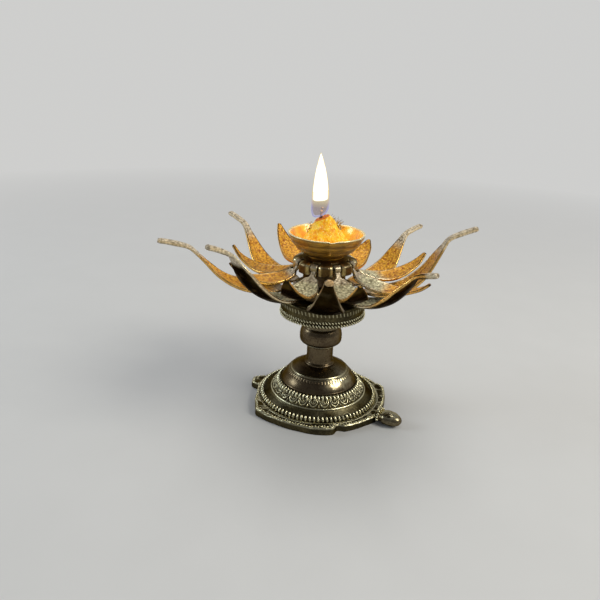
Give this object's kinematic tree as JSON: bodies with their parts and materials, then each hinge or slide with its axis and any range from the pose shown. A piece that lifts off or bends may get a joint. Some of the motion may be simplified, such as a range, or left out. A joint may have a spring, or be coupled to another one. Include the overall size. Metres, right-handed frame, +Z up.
{
  "type": "lotus diya",
  "caption": "Brass lotus oil lamp on a tortoise foot, with two rows of hinged petals that open round a small bowl of ghee and a lit wick.",
  "frame": {"origin": "on the lamp's turning axis, at the level of the surface that the foot stands on", "axes": "+Z up; -Y to the front, where the petal that faces the viewer lies; +X to the right"},
  "size_m": [0.1597, 0.1586, 0.1337],
  "materials": {
    "cast_brass": "aged cast brass, dark in the recesses and rubbed bright on the edges",
    "turned_brass": "lathe-turned brass with a dull polish and light tarnish",
    "petal_brass": "cast brass, stippled on the inner face, smooth and dark on the outer face",
    "ghee_cotton": "cotton soaked in set ghee, granular and waxy",
    "burnt_cotton": "charred cotton wick, glowing at its tip",
    "flame": "candle flame, clear at its base and bright above",
    "steel": "plain steel, dull"
  },
  "bodies": {
    "stand": {"tortoise_foot": "cast_brass", "shell": "turned_brass", "stem": "turned_brass", "lotus_disc": "cast_brass", "lower_petal_crown": "cast_brass", "upper_petal_crown": "cast_brass", "lower_hinge_wire": "turned_brass", "upper_hinge_wire": "turned_brass", "crown_sleeve": "turned_brass", "bowl": "cast_brass", "ghee_cotton": "ghee_cotton", "wick_tip": "burnt_cotton", "flame": "flame", "stud": "steel", "washer": "steel", "retaining_nut": "steel"},
    "long_petal_1": {"long_petal_1": "petal_brass"},
    "long_petal_2": {"long_petal_2": "petal_brass"},
    "long_petal_3": {"long_petal_3": "petal_brass"},
    "long_petal_4": {"long_petal_4": "petal_brass"},
    "long_petal_5": {"long_petal_5": "petal_brass"},
    "long_petal_6": {"long_petal_6": "petal_brass"},
    "long_petal_7": {"long_petal_7": "petal_brass"},
    "long_petal_8": {"long_petal_8": "petal_brass"},
    "short_petal_1": {"short_petal_1": "petal_brass"},
    "short_petal_2": {"short_petal_2": "petal_brass"},
    "short_petal_3": {"short_petal_3": "petal_brass"},
    "short_petal_4": {"short_petal_4": "petal_brass"},
    "short_petal_5": {"short_petal_5": "petal_brass"},
    "short_petal_6": {"short_petal_6": "petal_brass"},
    "short_petal_7": {"short_petal_7": "petal_brass"},
    "short_petal_8": {"short_petal_8": "petal_brass"}
  },
  "joints": [
    {"name": "long_petal_1_hinge", "type": "hinge", "parent": "stand", "child": "long_petal_1", "pos_m": [0, -0.0142, 0.066], "axis": [-1, 0, 0], "range_deg": [0, 45]},
    {"name": "long_petal_2_hinge", "type": "hinge", "parent": "stand", "child": "long_petal_2", "pos_m": [0.01004, -0.01004, 0.066], "axis": [-0.7071, -0.7071, 0], "range_deg": [0, 45]},
    {"name": "long_petal_3_hinge", "type": "hinge", "parent": "stand", "child": "long_petal_3", "pos_m": [0.0142, 0, 0.066], "axis": [0, -1, 0], "range_deg": [0, 45]},
    {"name": "long_petal_4_hinge", "type": "hinge", "parent": "stand", "child": "long_petal_4", "pos_m": [0.01004, 0.01004, 0.066], "axis": [0.7071, -0.7071, 0], "range_deg": [0, 45]},
    {"name": "long_petal_5_hinge", "type": "hinge", "parent": "stand", "child": "long_petal_5", "pos_m": [0, 0.0142, 0.066], "axis": [1, 0, 0], "range_deg": [0, 45]},
    {"name": "long_petal_6_hinge", "type": "hinge", "parent": "stand", "child": "long_petal_6", "pos_m": [-0.01004, 0.01004, 0.066], "axis": [0.7071, 0.7071, 0], "range_deg": [0, 45]},
    {"name": "long_petal_7_hinge", "type": "hinge", "parent": "stand", "child": "long_petal_7", "pos_m": [-0.0142, 0, 0.066], "axis": [0, 1, 0], "range_deg": [0, 45]},
    {"name": "long_petal_8_hinge", "type": "hinge", "parent": "stand", "child": "long_petal_8", "pos_m": [-0.01004, -0.01004, 0.066], "axis": [-0.7071, 0.7071, 0], "range_deg": [0, 45]},
    {"name": "short_petal_1_hinge", "type": "hinge", "parent": "stand", "child": "short_petal_1", "pos_m": [0.00543, -0.01312, 0.0799], "axis": [-0.9239, -0.3827, 0], "range_deg": [0, 81]},
    {"name": "short_petal_2_hinge", "type": "hinge", "parent": "stand", "child": "short_petal_2", "pos_m": [0.01312, -0.00543, 0.0799], "axis": [-0.3827, -0.9239, 0], "range_deg": [0, 81]},
    {"name": "short_petal_3_hinge", "type": "hinge", "parent": "stand", "child": "short_petal_3", "pos_m": [0.01312, 0.00543, 0.0799], "axis": [0.3827, -0.9239, 0], "range_deg": [0, 81]},
    {"name": "short_petal_4_hinge", "type": "hinge", "parent": "stand", "child": "short_petal_4", "pos_m": [0.00543, 0.01312, 0.0799], "axis": [0.9239, -0.3827, 0], "range_deg": [0, 81]},
    {"name": "short_petal_5_hinge", "type": "hinge", "parent": "stand", "child": "short_petal_5", "pos_m": [-0.00543, 0.01312, 0.0799], "axis": [0.9239, 0.3827, 0], "range_deg": [0, 81]},
    {"name": "short_petal_6_hinge", "type": "hinge", "parent": "stand", "child": "short_petal_6", "pos_m": [-0.01312, 0.00543, 0.0799], "axis": [0.3827, 0.9239, 0], "range_deg": [0, 81]},
    {"name": "short_petal_7_hinge", "type": "hinge", "parent": "stand", "child": "short_petal_7", "pos_m": [-0.01312, -0.00543, 0.0799], "axis": [-0.3827, 0.9239, 0], "range_deg": [0, 81]},
    {"name": "short_petal_8_hinge", "type": "hinge", "parent": "stand", "child": "short_petal_8", "pos_m": [-0.00543, -0.01312, 0.0799], "axis": [-0.9239, 0.3827, 0], "range_deg": [0, 81]}
  ],
  "couplings": [
    {"joint": "long_petal_1_hinge", "follows": "long_petal_7_hinge", "ratio": 1},
    {"joint": "long_petal_2_hinge", "follows": "long_petal_7_hinge", "ratio": 1},
    {"joint": "long_petal_3_hinge", "follows": "long_petal_7_hinge", "ratio": 1},
    {"joint": "long_petal_4_hinge", "follows": "long_petal_7_hinge", "ratio": 1},
    {"joint": "long_petal_5_hinge", "follows": "long_petal_7_hinge", "ratio": 1},
    {"joint": "long_petal_6_hinge", "follows": "long_petal_7_hinge", "ratio": 1},
    {"joint": "long_petal_8_hinge", "follows": "long_petal_7_hinge", "ratio": 1},
    {"joint": "short_petal_1_hinge", "follows": "long_petal_7_hinge", "ratio": 1.8},
    {"joint": "short_petal_2_hinge", "follows": "long_petal_7_hinge", "ratio": 1.8},
    {"joint": "short_petal_3_hinge", "follows": "long_petal_7_hinge", "ratio": 1.8},
    {"joint": "short_petal_4_hinge", "follows": "long_petal_7_hinge", "ratio": 1.8},
    {"joint": "short_petal_5_hinge", "follows": "long_petal_7_hinge", "ratio": 1.8},
    {"joint": "short_petal_6_hinge", "follows": "long_petal_7_hinge", "ratio": 1.8},
    {"joint": "short_petal_7_hinge", "follows": "long_petal_7_hinge", "ratio": 1.8},
    {"joint": "short_petal_8_hinge", "follows": "long_petal_7_hinge", "ratio": 1.8}
  ]
}
